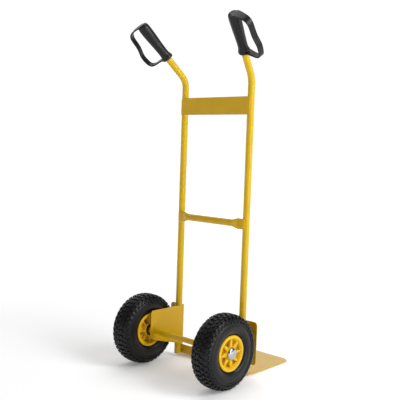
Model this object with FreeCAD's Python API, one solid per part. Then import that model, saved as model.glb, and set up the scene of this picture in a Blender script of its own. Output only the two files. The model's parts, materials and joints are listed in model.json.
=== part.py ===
"""Two-wheeled hand truck: bent tube rails, toe plate, axle brackets, pneumatic wheels and guarded grips.

Truck frame, before it is stood up: X to the right, Y forward (towards the toe plate), Z up along the
rails, with the axle's middle at (0, 0, tyre_radius).  Every right-hand piece is mirrored for the left.
The finished truck leans forward until the front edge of the toe plate touches the floor.
"""
import FreeCAD
import Part
import math
import os
from FreeCAD import Vector

# ---- wheels ---------------------------------------------------------------------------------------
tyre_radius = 130.0
tyre_half_width = 42.5
crown_flat = 16.0               # half width of the tread's level middle
wheel_clearance = 10.0          # tyre to axle bracket
bead_radius = 50.8              # seat of a four inch rim
flange_height = 11.2            # rim flange beyond the bead seat
bead_half_gap = 31.0            # middle plane to the inside of a rim flange
rim_half_width = 37.0
ring_wall = 5.8                 # rim's outer ring, inside the bead seat
web_depth = 17.0                # pocket floor below the rim face
web_wall = 5.0
hub_radius = 24.5
hub_recess = 2.0                # hub face below the rim face
rib_count = 8
rib_drop = 1.5                  # rib top below the hub face
outer_rib_root = 15.0           # rib width at the hub, outer half
outer_rib_tip = 3.0             # rib width at the ring, outer half
inner_rib_width = 3.0
screw_count = 4
screw_radius = 3.0
screw_head_radius = 5.0
screw_head_height = 4.0
boss_radius = 6.5
tyre_gap = 0.3                  # between tyre, inner tube and rim
tube_wall = 2.0
valve_radius = 3.8
valve_gap = 0.4
valve_cap_radius = 4.8
valve_cap_length = 8.0
valve_inset = 9.0               # stem from the wheel's middle plane
valve_reach = 28.0              # stem end from the wheel's middle plane

# ---- axle and bearings ----------------------------------------------------------------------------
axle_radius = 10.0
axle_fit = 0.05                 # radial clearance of what slides on the axle
bearing_radius = 21.0
bearing_width = 12.0
bearing_bore_shoulder = 18.5
inner_race_radius = 13.2
outer_race_radius = 17.8
ball_radius = 2.9
ball_count = 8
race_gap = 0.3                  # ball to inner race
seal_wall = 1.0
seal_recess = 0.4
seal_reach = 1.5                # how far a seal sits into the outer ring
spacer_radius = 14.0
dust_ring_radius = 19.8
dust_ring_length = 6.4
dust_ring_gap = 0.4             # dust ring to the turning hub
washer_radius = 16.0
washer_thickness = 1.0
cap_radius = 21.5
cap_height = 11.0
cap_wall = 1.0
axle_beyond_hub = 8.0

# ---- rails and cross members ----------------------------------------------------------------------
rail_radius = 12.5
rail_wall = 1.5
rail_offset = 160.0             # rail centre from the middle plane
rail_clearance = 12.0           # tyre's foremost point to the rail's centre
rail_bottom = 16.0
bend_height = 1059.0            # corner of the rail's centreline
bend_radius = 65.0
handle_tilt = 43.5              # degrees, backwards
handle_splay = 12.8             # degrees, outwards
handle_length = 222.0           # corner to the tube's upper end
plate_drop = 64.5               # plate's top edge below the corner of the bend
plate_height = 63.0
plate_thickness = 3.0
plate_overhang = 3.0            # plate end beyond the rail's centre
cross_height = 550.0
cross_end_height = 38.0
cross_end_thickness = 5.0
cross_flat = 24.0               # length of a flattened end
cross_taper = 30.0
cross_overhang = 1.0            # tube end beyond the rail's centre
section_points = 20
weld_radius = 2.6
weld_leg = 4.0

# ---- axle brackets and toe plate ------------------------------------------------------------------
bracket_thickness = 3.0
bracket_above = 76.0            # top edge above the axle
bracket_behind = 16.0           # rear edge behind the axle
bracket_below = 31.0            # rear bottom corner below the axle
bracket_bend = 3.0
bracket_corner = 13.0
guard_width = 56.0              # wheel guard beyond the rail's centre
toe_thickness = 3.5
toe_bottom = 13.0
toe_overhang = 27.0             # side edge beyond the rail's centre
toe_depth = 250.0               # from the rails' front to the front edge
toe_corner = 35.0
toe_rear_corner = 6.0
toe_bend = 5.0
toe_flange_top = 50.0
toe_flange_overhang = 5.0       # flange end beyond the rail's centre
toe_relief = 2.0
toe_relief_depth = 5.0
seam_gap = 1.5                  # toe flange to bracket

# ---- grips ----------------------------------------------------------------------------------------
grip_start = 109.0              # grip's lower end along the handle, from the bend's corner
grip_fit = 0.05
grip_stop = 1.0                 # tube end to the bottom of the grip's bore
# distance along the grip, wall over the rail across the guard's plane, wall within it
grip_sections = [(0.0, 7.5, 8.0), (7.0, 7.8, 8.3), (22.0, 4.1, 4.5), (52.0, 4.3, 4.7), (85.0, 5.7, 6.7),
                 (117.0, 6.9, 8.1), (140.0, 7.1, 7.9), (152.0, 4.3, 4.6), (157.0, -1.5, -2.5)]
guard_turn = -15.0              # degrees, from straight out towards the rear
guard_strap = 23.0
guard_wall = 5.4
# outside of the guard: distance along the grip, distance from its axis, corner radius
guard_outline = [(2.0, 0.0, 0.0), (-3.0, 88.0, 22.0), (62.0, 94.0, 50.0), (90.0, 78.0, 50.0),
                 (151.0, 74.0, 16.0), (156.5, 0.0, 0.0)]

# ---- worked out from the sizes above --------------------------------------------------------------
axle_height = tyre_radius
rim_radius = bead_radius + flange_height
ring_inner_radius = bead_radius - ring_wall
pocket_middle = (hub_radius + ring_inner_radius) / 2.0
section_height = tyre_radius - rim_radius
rail_ahead = tyre_radius + rail_clearance
rail_front = rail_ahead + rail_radius
rail_rear = rail_ahead - rail_radius
hub_face = rim_half_width - hub_recess
toe_front = rail_front + toe_depth
bracket_outer = rail_offset - rail_radius
bracket_inner = bracket_outer - bracket_thickness
bracket_top = axle_height + bracket_above
wheel_offset = bracket_outer + wheel_clearance + tyre_half_width
plate_bottom = bend_height - plate_drop - plate_height
toe_half_width = rail_offset + toe_overhang
toe_drop = axle_height - toe_bottom
lean = (math.asin(tyre_radius / math.hypot(toe_drop, toe_front))
        - math.atan2(toe_drop, toe_front))
toe_reach = toe_front * math.cos(lean) - (toe_drop - toe_thickness) * math.sin(lean)
middle_ahead = (toe_reach - tyre_radius) / 2.0
axle_centre = Vector(0, 0, axle_height)
along_x = Vector(1, 0, 0)
along_z = Vector(0, 0, 1)


def rounded_wire(corners, place):
    """Closed wire through (u, v, corner radius), put in space by place(u, v)."""
    flat = [Vector(u, v, 0) for u, v, _ in corners]
    legs = []
    for index, (_, _, radius) in enumerate(corners):
        here = flat[index]
        if radius == 0:
            legs.append((here, None, here))
            continue
        back = (flat[index - 1] - here).normalize()
        ahead = (flat[(index + 1) % len(flat)] - here).normalize()
        half = back.getAngle(ahead) / 2.0
        inward = (back + ahead).normalize()
        middle = here + inward * (radius / math.sin(half) - radius)
        reach = radius / math.tan(half)
        legs.append((here + back * reach, middle, here + ahead * reach))
    edges = []
    for index, (start, middle, end) in enumerate(legs):
        if middle is not None:
            arc = [place(p.x, p.y) for p in (start, middle, end)]
            edges.append(Part.Arc(*arc).toShape())
        following = legs[(index + 1) % len(legs)][0]
        if (following - end).Length > 1e-6:
            edges.append(Part.LineSegment(place(end.x, end.y), place(following.x, following.y)).toShape())
    return Part.Wire(edges)


def prism(corners, place, depth):
    """Solid on a rounded outline, pushed through by the vector depth."""
    return Part.Face(rounded_wire(corners, place)).extrude(depth)


def turned(corners):
    """Solid of revolution about the axle; corners are (x, radius, corner radius)."""
    face = Part.Face(rounded_wire(corners, lambda x, r: Vector(x, 0, r)))
    return face.revolve(Vector(0, 0, 0), along_x, 360)


def ring(x_low, x_high, r_low, r_high):
    return turned([(x_low, r_low, 0), (x_high, r_low, 0), (x_high, r_high, 0), (x_low, r_high, 0)])


def rod(start, end, radius):
    return Part.makeCylinder(radius, (end - start).Length, start, end - start)


def block(low, high):
    return Part.makeBox(high[0] - low[0], high[1] - low[1], high[2] - low[2], Vector(*low))


def joined(shapes):
    result = shapes[0]
    if len(shapes) > 1:
        result = result.multiFuse(shapes[1:])
    return result.removeSplitter()


def mirrored(shape):
    return shape.mirror(Vector(0, 0, 0), along_x)


def spun(shape, index, count, first=0.0):
    """Copy of a shape turned about the axle to one of count equal stations."""
    copy = shape.copy()
    copy.rotate(Vector(0, 0, 0), along_x, first + index * 360.0 / count)
    return copy


# ---- rails ----------------------------------------------------------------------------------------
def handle_direction():
    tilt = math.radians(handle_tilt)
    splay = math.radians(handle_splay)
    return Vector(math.sin(splay), -math.sin(tilt) * math.cos(splay), math.cos(tilt) * math.cos(splay))


bend_corner = Vector(rail_offset, rail_ahead, bend_height)


def bent_bar(radius):
    """Right rail's centreline with a round section: straight, arc, straight."""
    upper = handle_direction()
    turn = along_z.getAngle(upper)
    reach = bend_radius * math.tan(turn / 2.0)
    lower_end = Vector(rail_offset, rail_ahead, rail_bottom)
    arc_start = bend_corner - along_z * reach
    arc_end = bend_corner + upper * reach
    sideways = (upper - along_z * upper.dot(along_z)).normalize()
    hinge = along_z.cross(upper)
    section = Part.Face(Part.Wire(Part.makeCircle(radius, arc_start, along_z)))
    bend = section.revolve(arc_start + sideways * bend_radius, hinge, math.degrees(turn))
    lower = rod(lower_end, arc_start, radius)
    top = rod(arc_end, bend_corner + upper * handle_length, radius)
    return joined([lower, bend, top])


def make_rail():
    return bent_bar(rail_radius).cut(bent_bar(rail_radius - rail_wall))


# ---- cross members --------------------------------------------------------------------------------
def make_upper_plate():
    half = rail_offset + plate_overhang
    return block((-half, rail_rear - plate_thickness, plate_bottom),
                 (half, rail_rear, plate_bottom + plate_height))


def pressed_section(x, shrink, flatness):
    """Closed section of the cross tube across X, from round (flatness 0) to pressed flat (flatness 1)."""
    ease = flatness * flatness * (3.0 - 2.0 * flatness)
    thin = rail_radius + (cross_end_thickness / 2.0 - rail_radius) * ease - shrink
    tall = rail_radius + (cross_end_height / 2.0 - rail_radius) * ease - shrink
    power = 1.0 - 0.5 * ease
    points = []
    for step in range(section_points):
        angle = 2.0 * math.pi * step / section_points
        across = math.copysign(abs(math.cos(angle)) ** power, math.cos(angle))
        upright = math.copysign(abs(math.sin(angle)) ** power, math.sin(angle))
        points.append(Vector(x, rail_rear - cross_end_thickness / 2.0 + thin * across,
                             cross_height + tall * upright))
    curve = Part.BSplineCurve()
    curve.interpolate(Points=points, PeriodicFlag=True)
    return Part.Wire(curve.toShape())


def flattened_bar(shrink):
    """Round bar whose two ends are pressed flat; shrink insets it to hollow it out."""
    end = rail_offset + cross_overhang - shrink * 2.0
    flat_start = rail_offset + cross_overhang - cross_flat
    round_end = flat_start - cross_taper
    middle = Part.Face(pressed_section(-round_end, shrink, 0.0)).extrude(Vector(2.0 * round_end, 0, 0))
    sections = [pressed_section(round_end + cross_taper * step / 6.0, shrink, step / 6.0) for step in range(7)]
    taper = Part.makeLoft(sections, True, False)
    flat = Part.Face(pressed_section(flat_start, shrink, 1.0)).extrude(Vector(end - flat_start, 0, 0))
    return joined([middle, taper, mirrored(taper), flat, mirrored(flat)])


def make_cross_tube():
    return flattened_bar(0.0).cut(flattened_bar(rail_wall))


# ---- axle bracket ---------------------------------------------------------------------------------
def make_bracket():
    """Sheet bent once: an axle plate inside the rail and a wheel guard in front of it."""
    outer_edge = rail_offset + guard_width
    front = rail_front + bracket_thickness
    bottom = toe_flange_top + seam_gap
    outer_bend = bracket_bend + bracket_thickness
    plan = [(bracket_inner, -bracket_behind, 0), (bracket_outer, -bracket_behind, 0),
            (bracket_outer, rail_front, bracket_bend), (outer_edge, rail_front, 0),
            (outer_edge, front, 0), (bracket_inner, front, outer_bend)]
    sheet = prism(plan, lambda x, y: Vector(x, y, bottom), along_z * (bracket_top - bottom))
    side = [(-bracket_behind, axle_height - bracket_below, bracket_corner), (front, bottom, 0),
            (front, bracket_top, 0), (-bracket_behind, bracket_top, bracket_corner)]
    sheet = sheet.common(prism(side, lambda y, z: Vector(bracket_inner, y, z),
                               along_x * (outer_edge - bracket_inner)))
    face = [(bracket_inner, bottom, 0), (outer_edge, bottom, bracket_corner),
            (outer_edge, bracket_top, bracket_corner), (bracket_inner, bracket_top, 0)]
    sheet = sheet.common(prism(face, lambda x, z: Vector(x, -bracket_behind, z),
                               Vector(0, front + bracket_behind, 0)))
    hole = rod(Vector(bracket_inner - 1, 0, axle_height), Vector(bracket_outer + 1, 0, axle_height),
               axle_radius + axle_fit)
    return sheet.cut(hole)


# ---- toe plate ------------------------------------------------------------------------------------
def make_toe_plate():
    flange_half = rail_offset + toe_flange_overhang
    outer_bend = toe_bend + toe_thickness
    bend_end = rail_front + outer_bend
    toe_top = toe_bottom + toe_thickness
    profile = [(rail_front, toe_bottom, outer_bend), (bend_end + toe_relief_depth, toe_bottom, 0),
               (bend_end + toe_relief_depth, toe_top, 0), (rail_front + toe_thickness, toe_top, toe_bend),
               (rail_front + toe_thickness, toe_flange_top, 0), (rail_front, toe_flange_top, 0)]
    angle = prism(profile, lambda y, z: Vector(-flange_half, y, z), along_x * (2.0 * flange_half))
    notch = flange_half + toe_relief
    inside = bend_end + toe_relief_depth
    outline = [(-toe_half_width, rail_front, toe_rear_corner), (-notch, rail_front, 0), (-notch, inside, 0),
               (notch, inside, 0), (notch, rail_front, 0), (toe_half_width, rail_front, toe_rear_corner),
               (toe_half_width, toe_front, toe_corner), (-toe_half_width, toe_front, toe_corner)]
    flat = prism(outline, lambda x, y: Vector(x, y, toe_bottom), along_z * toe_thickness)
    return joined([angle, flat])


# ---- axle -----------------------------------------------------------------------------------------
def make_axle():
    half = wheel_offset + hub_face + axle_beyond_hub
    return rod(Vector(-half, 0, axle_height), Vector(half, 0, axle_height), axle_radius)


# ---- welds ----------------------------------------------------------------------------------------
def upright_bead(x, y, z_low, z_high, neighbours):
    bead = rod(Vector(x, y, z_low), Vector(x, y, z_high), weld_radius)
    for neighbour in neighbours:
        bead = bead.cut(neighbour)
    return bead


def both_sides(shapes):
    return Part.makeCompound(shapes + [mirrored(shape) for shape in shapes])


def make_upper_plate_welds(rail, plate):
    x = rail_offset + plate_overhang + weld_radius * 0.6
    y = rail_rear - plate_thickness + weld_radius * 1.05
    bead = upright_bead(x, y, plate_bottom + weld_leg, plate_bottom + plate_height - weld_leg, (rail, plate))
    return both_sides([bead])


def make_cross_tube_welds(rail, tube):
    x = rail_offset + cross_overhang + weld_radius * 0.3
    half = cross_end_height / 2.0 - weld_leg
    bead = upright_bead(x, rail_rear - weld_radius * 0.5, cross_height - half, cross_height + half,
                        (rail, tube))
    return both_sides([bead])


def make_bracket_welds(rail, bracket):
    bead = upright_bead(bracket_outer + weld_radius * 0.5, rail_ahead - rail_radius * 0.62,
                        axle_height - bracket_below, bracket_top - weld_leg, (rail, bracket))
    return both_sides([bead])


def make_toe_plate_welds(rail, toe_plate):
    x = rail_offset - rail_radius * 0.62
    bead = upright_bead(x, rail_front - weld_radius * 0.5, rail_bottom + weld_leg, toe_flange_top - weld_leg,
                        (rail, toe_plate))
    return both_sides([bead])


def make_axle_welds():
    bead = turned([(bracket_inner - weld_leg, axle_radius, 0), (bracket_inner, axle_radius, 0),
                   (bracket_inner, axle_radius + weld_leg, 0)])
    bead.translate(axle_centre)
    return both_sides([bead])


# ---- wheel, built about the origin with its outside towards +X ------------------------------------
def cavity_corners():
    """Inside of the tyre, closed across the rim."""
    low = bead_radius + tyre_gap
    half = tyre_half_width - 5.5
    crown = tyre_radius - 9.0
    right = [(19.0, low, 4.0), (24.0, rim_radius + 1.0, 8.0), (half, rim_radius + 0.30 * section_height, 12.0),
             (half, rim_radius + 0.55 * section_height, 10.0), (half - 6.0, crown - 4.0, 8.0)]
    left = [(-x, r, corner) for x, r, corner in reversed(right)]
    return right + [(0.0, crown, 0.0)] + left


def make_tyre():
    heel = bead_half_gap - tyre_gap
    seat = bead_radius + tyre_gap
    right = [(heel, seat, 1.5), (heel, rim_radius, 4.0),
             (tyre_half_width, rim_radius + 0.32 * section_height, 16.0),
             (tyre_half_width, rim_radius + 0.62 * section_height, 12.0),
             (tyre_half_width - 8.5, tyre_radius - 4.5, 8.0),
             (crown_flat, tyre_radius, 30.0)]
    left = [(-x, r, corner) for x, r, corner in reversed(right)]
    body = turned(right + left)
    return body.cut(turned(cavity_corners()))


def inset_cavity(distance):
    wire = rounded_wire(cavity_corners(), lambda x, r: Vector(x, 0, r)).makeOffset2D(-distance)
    return Part.Face(wire).revolve(Vector(0, 0, 0), along_x, 360)


def make_inner_tube(valve_hole):
    tube = inset_cavity(tyre_gap).cut(inset_cavity(tyre_gap + tube_wall))
    return tube.cut(valve_hole)


def rib(root_width, tip_width):
    """One rib from hub to ring, on the +Z side of the axle."""
    low = hub_radius - 2.0
    high = ring_inner_radius + 1.5
    corners = [(-root_width / 2.0, low, 0), (root_width / 2.0, low, 0), (tip_width / 2.0, high, 0),
               (-tip_width / 2.0, high, 0)]
    floor = rim_half_width - web_depth - 1.0
    return prism(corners, lambda y, z: Vector(floor, y, z), along_x * (hub_face - rib_drop - floor))


def rim_blank(root_width, tip_width):
    """Half of the rim, from the middle plane to its face at +X, with ribs in its pockets."""
    face = rim_half_width
    floor = face - web_depth
    seat = hub_face - bearing_width
    parts = [turned([(0, ring_inner_radius, 0), (face, ring_inner_radius, 1.5), (face, rim_radius, 3.0),
                     (bead_half_gap, rim_radius, 2.0), (bead_half_gap, bead_radius, 1.0), (0, bead_radius, 0)]),
             ring(floor - web_wall, floor, hub_radius - 1.0, ring_inner_radius + 1.0),
             turned([(0, bearing_bore_shoulder, 0), (seat, bearing_bore_shoulder, 0), (seat, bearing_radius, 0),
                     (hub_face, bearing_radius, 0), (hub_face, hub_radius, 1.0), (0, hub_radius, 0)])]
    parts += [spun(rib(root_width, tip_width), index, rib_count) for index in range(rib_count)]
    boss = rod(Vector(0, 0, pocket_middle), Vector(floor - web_wall + 1.0, 0, pocket_middle), boss_radius)
    parts += [spun(boss, index, screw_count, screw_angle) for index in range(screw_count)]
    blank = joined(parts)
    hole = rod(Vector(-1, 0, pocket_middle), Vector(floor + 1, 0, pocket_middle), screw_radius + 0.2)
    holes = [spun(hole, index, screw_count, screw_angle) for index in range(screw_count)]
    return blank.cut(Part.makeCompound(holes))


screw_angle = 180.0 / rib_count
valve_angle = screw_angle + 5 * 360.0 / rib_count


def bent_stem(radius, top, reach):
    """Valve stem in the inner half: in from the tube, then sideways through the web."""
    elbow = Vector(-valve_inset, 0, pocket_middle)
    column = rod(elbow, Vector(-valve_inset, 0, top), radius)
    side = rod(elbow, Vector(-reach, 0, pocket_middle), radius)
    stem = joined([column, side, Part.makeSphere(radius, elbow)])
    return spun(stem, 0, 1, valve_angle)


def make_valve_cap():
    start = Vector(-valve_reach, 0, pocket_middle)
    cap = rod(start, start - along_x * valve_cap_length, valve_cap_radius)
    return spun(cap, 0, 1, valve_angle)


def make_rim_inner_half():
    half = mirrored(rim_blank(inner_rib_width, inner_rib_width))
    return half.cut(bent_stem(valve_radius + valve_gap, bead_radius + 3.0, rim_half_width))


def make_screws():
    floor = rim_half_width - web_depth
    shank = rod(Vector(-floor, 0, pocket_middle), Vector(floor, 0, pocket_middle), screw_radius)
    head = rod(Vector(floor, 0, pocket_middle), Vector(floor + screw_head_height, 0, pocket_middle),
               screw_head_radius)
    nut_points = []
    for corner in range(6):
        angle = math.radians(60 * corner)
        nut_points.append((screw_head_radius * 1.1 * math.cos(angle),
                           pocket_middle + screw_head_radius * 1.1 * math.sin(angle), 0))
    nut = prism(nut_points, lambda y, z: Vector(-floor - screw_head_height, y, z), along_x * screw_head_height)
    screw = joined([shank, head, nut])
    return Part.makeCompound([spun(screw, index, screw_count, screw_angle) for index in range(screw_count)])


def bearing_places():
    """Middle of each bearing along the axle, from the wheel's middle plane."""
    centre = hub_face - bearing_width / 2.0
    return (-centre, centre)


def at_bearings(shape):
    copies = []
    for x in bearing_places():
        copy = shape.copy()
        copy.translate(Vector(x, 0, 0))
        copies.append(copy)
    return Part.makeCompound(copies)


ball_circle = (inner_race_radius + outer_race_radius) / 2.0


def groove(radius):
    return Part.makeTorus(ball_circle, radius, Vector(0, 0, 0), along_x)


def make_bearing_inner_rings():
    half = bearing_width / 2.0
    race = ring(-half, half, axle_radius + axle_fit, inner_race_radius)
    return at_bearings(race.cut(groove(ball_radius + race_gap)))


def make_bearing_outer_rings():
    half = bearing_width / 2.0
    lip = half - seal_recess - seal_wall
    groove_cut = groove(ball_radius + axle_fit)
    race = turned([(-half, bearing_radius, 0), (-half, outer_race_radius + seal_reach, 0),
                   (-lip, outer_race_radius + seal_reach, 0), (-lip, outer_race_radius, 0),
                   (lip, outer_race_radius, 0), (lip, outer_race_radius + seal_reach, 0),
                   (half, outer_race_radius + seal_reach, 0), (half, bearing_radius, 0)])
    return at_bearings(race.cut(groove_cut))


def make_bearing_balls():
    balls = []
    for index in range(ball_count):
        ball = Part.makeSphere(ball_radius)
        ball.translate(Vector(0, 0, ball_circle))
        balls.append(spun(ball, index, ball_count))
    return at_bearings(Part.makeCompound(balls))


def make_bearing_seals():
    outside = bearing_width / 2.0 - seal_recess
    seal = ring(outside - seal_wall, outside, inner_race_radius + seal_recess, outer_race_radius + seal_reach)
    return at_bearings(Part.makeCompound([seal, mirrored(seal)]))


def make_spacer():
    inner_face = bracket_outer - wheel_offset
    return ring(inner_face, -hub_face, axle_radius + axle_fit, spacer_radius)


def make_dust_ring():
    """Rubber ring on the spacer that covers the inner bearing."""
    end = -hub_face - dust_ring_gap
    return ring(end - dust_ring_length, end, spacer_radius + axle_fit, dust_ring_radius)


def make_washer():
    return ring(hub_face, hub_face + washer_thickness, axle_radius + axle_fit, washer_radius)


def make_hub_cap():
    """Domed push-on cap with a flat disc that grips the axle."""
    base = hub_face + washer_thickness
    sphere_radius = (cap_radius ** 2 + cap_height ** 2) / (2.0 * cap_height)
    centre = base + cap_height - sphere_radius
    keep = rod(Vector(base, 0, 0), Vector(base + cap_height + 1.0, 0, 0), cap_radius)
    outside = Part.makeSphere(sphere_radius, Vector(centre, 0, 0)).common(keep)
    hollow = Part.makeSphere(sphere_radius - cap_wall, Vector(centre, 0, 0)).common(
        rod(Vector(base + cap_wall, 0, 0), Vector(base + cap_height + 1.0, 0, 0), cap_radius))
    bore = rod(Vector(base - 1.0, 0, 0), Vector(base + cap_wall + 1.0, 0, 0), axle_radius + axle_fit)
    return outside.cut(hollow).cut(bore)


def wheel_pieces():
    stem_top = bead_radius + 2.0 * tyre_gap + tube_wall
    return {
        "tyre": make_tyre(),
        "inner_tube": make_inner_tube(bent_stem(valve_radius, stem_top, valve_reach)),
        "valve_stem": bent_stem(valve_radius, stem_top, valve_reach),
        "valve_cap": make_valve_cap(),
        "rim_outer_half": rim_blank(outer_rib_root, outer_rib_tip),
        "rim_inner_half": make_rim_inner_half(),
        "rim_screws": make_screws(),
        "bearing_inner_rings": make_bearing_inner_rings(),
        "bearing_outer_rings": make_bearing_outer_rings(),
        "bearing_balls": make_bearing_balls(),
        "bearing_seals": make_bearing_seals(),
        "axle_spacer": make_spacer(),
        "dust_ring": make_dust_ring(),
        "axle_washer": make_washer(),
        "hub_cap": make_hub_cap(),
    }


# ---- grip -----------------------------------------------------------------------------------------
def grip_axes():
    """Directions of the right grip: along it, towards its guard, and across the guard's strap."""
    along = handle_direction()
    outward = (along_x - along * along_x.dot(along)).normalize()
    upward = along.cross(outward)
    turn = math.radians(guard_turn)
    guard = outward * math.cos(turn) + upward * math.sin(turn)
    return along, guard, along.cross(guard)


def make_grip():
    along, guard, across = grip_axes()
    start = bend_corner + along * grip_start
    wires = []
    for distance, wall_across, wall_guard in grip_sections:
        centre = start + along * distance
        half_across = rail_radius + wall_across
        half_guard = rail_radius + wall_guard
        if half_across > half_guard:
            curve = Part.Ellipse(centre + across * half_across, centre + guard * half_guard, centre)
        else:
            curve = Part.Ellipse(centre + guard * half_guard, centre - across * half_across, centre)
        wires.append(Part.Wire(curve.toShape()))
    body = Part.makeLoft(wires, True, False)

    def place(t, w):
        return start + along * t + guard * w - across * (guard_strap / 2.0)

    outline = rounded_wire(guard_outline, place)
    inside = outline.makeOffset2D(-guard_wall)
    strap = Part.Face(outline).extrude(across * guard_strap)
    strap = strap.cut(Part.Face(inside).extrude(across * guard_strap))
    whole = joined([body, strap])
    bore_end = bend_corner + along * (handle_length + grip_stop)
    return whole.cut(rod(start - along, bore_end, rail_radius + grip_fit))


# ---- build ----------------------------------------------------------------------------------------
def stood_up(shape):
    """Lean the truck on the toe plate's front edge and centre it over the origin."""
    placed = shape.copy()
    placed.rotate(axle_centre, along_x, -math.degrees(lean))
    placed.translate(Vector(0, -middle_ahead, 0))
    return placed


def save(name, shape):
    stood_up(shape).exportStep("parts/" + name + ".step")


def main():
    os.makedirs("parts", exist_ok=True)
    rail = make_rail()
    plate = make_upper_plate()
    tube = make_cross_tube()
    bracket = make_bracket()
    toe_plate = make_toe_plate()
    save("upper_cross_plate", plate)
    save("middle_cross_tube", tube)
    save("toe_plate", toe_plate)
    save("axle", make_axle())
    save("upper_plate_welds", make_upper_plate_welds(rail, plate))
    save("cross_tube_welds", make_cross_tube_welds(rail, tube))
    save("bracket_welds", make_bracket_welds(rail, bracket))
    save("toe_plate_welds", make_toe_plate_welds(rail, toe_plate))
    save("axle_welds", make_axle_welds())
    paired = {"rail": rail, "axle_bracket": bracket, "grip": make_grip()}
    for name, piece in wheel_pieces().items():
        placed = piece.copy()
        placed.translate(Vector(wheel_offset, 0, axle_height))
        paired[name] = placed
    for name, piece in paired.items():
        save("right_" + name, piece)
        save("left_" + name, mirrored(piece))


main()
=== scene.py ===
"""The looks of a yellow hand truck: softened sheets, bent tubes, ribbed rims, treaded tyres, moulded grips.

Truck coordinates in this file have the axle's middle as origin, X to the right, Y towards the toe plate
and Z along the rails.  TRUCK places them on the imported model, which stands with a slight lean.
"""

import json
import math

import bmesh
import bpy
from mathutils import Matrix, Vector


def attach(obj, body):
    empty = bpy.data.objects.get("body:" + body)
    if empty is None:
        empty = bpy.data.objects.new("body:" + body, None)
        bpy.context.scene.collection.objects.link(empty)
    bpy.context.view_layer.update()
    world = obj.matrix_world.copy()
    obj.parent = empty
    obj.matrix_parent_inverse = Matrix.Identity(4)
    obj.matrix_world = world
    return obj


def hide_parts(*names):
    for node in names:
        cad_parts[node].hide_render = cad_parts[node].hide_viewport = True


bl_info = {
    "name": "Hand Truck",
    "version": (1, 0, 0),
    "blender": (4, 5, 0),
    "location": "3D View > Sidebar > Hand Truck",
    "description": "Builds the visible pieces of a hand truck around its packed model",
    "category": "Add Mesh",
}

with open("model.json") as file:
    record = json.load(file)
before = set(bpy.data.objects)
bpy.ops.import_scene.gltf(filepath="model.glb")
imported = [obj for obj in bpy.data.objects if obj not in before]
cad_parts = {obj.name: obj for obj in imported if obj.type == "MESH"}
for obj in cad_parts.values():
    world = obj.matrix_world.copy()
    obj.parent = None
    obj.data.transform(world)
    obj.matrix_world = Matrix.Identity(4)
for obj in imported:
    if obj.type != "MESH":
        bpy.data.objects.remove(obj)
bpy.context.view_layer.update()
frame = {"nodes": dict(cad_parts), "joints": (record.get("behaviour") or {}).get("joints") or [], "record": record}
MM = 0.001
DOUBLES = 1e-6          # vertices closer than this are one
SIDES = (("right", 1.0), ("left", -1.0))
MIRROR = Matrix.Diagonal((-1.0, 1.0, 1.0, 1.0))
WHEEL_CENTRE = {joint["child"]: Vector(joint["pos_m"]) for joint in frame["joints"]}
AXLE = Vector((0.0, WHEEL_CENTRE["right_wheel"].y, WHEEL_CENTRE["right_wheel"].z))
LOAD_FACE = next(m for m in frame["record"]["mounts"] if m["name"] == "toe_plate_top")
LEAN = math.atan2(LOAD_FACE["axis"][1], LOAD_FACE["axis"][2])
TRUCK = Matrix.Translation(AXLE) @ Matrix.Rotation(-LEAN, 4, "X")


def in_truck(node):
    """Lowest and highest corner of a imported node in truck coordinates, in metres."""
    turn_back = TRUCK.inverted()
    points = [turn_back @ v.co for v in frame["nodes"][node].data.vertices]
    low = Vector([min(p[i] for p in points) for i in range(3)])
    high = Vector([max(p[i] for p in points) for i in range(3)])
    return low, high


PLATE_LOW, PLATE_HIGH = in_truck("upper_cross_plate")
CROSS_LOW, CROSS_HIGH = in_truck("middle_cross_tube")
RAIL_LOW, RAIL_HIGH = in_truck("right_rail")


# ---- settings -------------------------------------------------------------------------------------
def colour_property(name, description, default):
    return bpy.props.FloatVectorProperty(name=name, description=description, default=default, size=3,
                                         subtype="COLOR", min=0.0, max=1.0)


def angle_property(name, description, degrees):
    return bpy.props.FloatProperty(name=name, description=description, default=math.radians(degrees),
                                   subtype="ANGLE", unit="ROTATION")


def length_property(name, description, default):
    return bpy.props.FloatProperty(name=name, description=description, default=default, min=0.0,
                                   subtype="DISTANCE", unit="LENGTH", precision=5)


class HandTruckFinishes(bpy.types.PropertyGroup):
    """Colours and surface character."""
    paint: colour_property("Paint", "Enamel on the steel", (0.590, 0.354, 0.009))
    paint_deep: colour_property("Paint, deep", "Enamel where it lies thicker", (0.550, 0.322, 0.006))
    rim: colour_property("Rim", "Moulded rims", (0.720, 0.436, 0.012))
    rubber: colour_property("Rubber", "Tyres", (0.0040, 0.0040, 0.0043))
    grip: colour_property("Grip", "Handles", (0.0045, 0.0045, 0.0052))
    # The rails' green raised over the sheets' paint is painted sheen: it stands in for the whitish reflections
    # along the tubes.
    rail_sheen_lift: bpy.props.FloatProperty(
        name="Rail lift", description="Green of the rails' paint, as a share of the sheets'",
        default=1.07, min=0.5, max=1.5, subtype="FACTOR")
    plating: colour_property("Plating", "Hub caps", (0.50, 0.50, 0.51))
    orange_peel: length_property("Orange peel", "Size of the ripples in the paint", 0.0022)


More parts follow.
